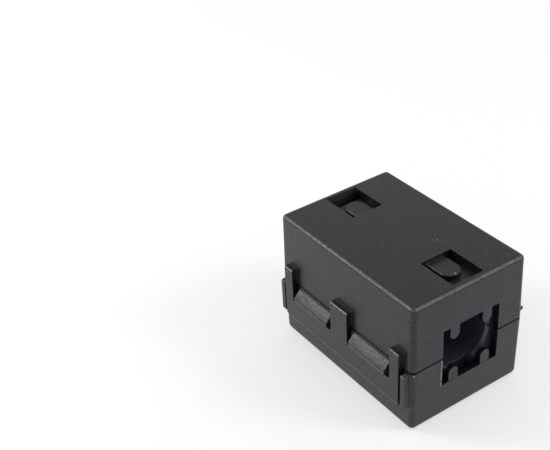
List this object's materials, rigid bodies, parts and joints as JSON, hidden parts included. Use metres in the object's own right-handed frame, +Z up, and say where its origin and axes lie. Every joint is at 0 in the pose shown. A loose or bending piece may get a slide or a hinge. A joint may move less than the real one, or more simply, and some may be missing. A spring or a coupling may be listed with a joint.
{
  "type": "clip-on ferrite bead",
  "caption": "Snap-shut plastic case holding ferrite half cores around a round cable bore, with a living-hinge lid and a front snap latch; clips onto a cable to choke noise.",
  "frame": {"origin": "middle of the cable bore, on the parting plane, with the lid shut", "axes": "+X along the cable, -Y the latch side, +Y the hinge side, +Z up through the lid"},
  "size_m": [0.032, 0.0243, 0.0227],
  "materials": {
    "case_plastic": "fine spark-eroded texture, smooth on the catches",
    "ferrite": "ground grey lands, as-sintered bore"
  },
  "bodies": {
    "base": {"base_shell": "case_plastic", "lower_core": "ferrite"},
    "lid": {"lid_shell": "case_plastic", "upper_core": "ferrite"}
  },
  "joints": [
    {"name": "lid_hinge", "type": "hinge", "parent": "base", "child": "lid", "pos_m": [0, 0.01147, 0.0004], "axis": [-1, 0, 0], "range_deg": [0, 99]}
  ]
}
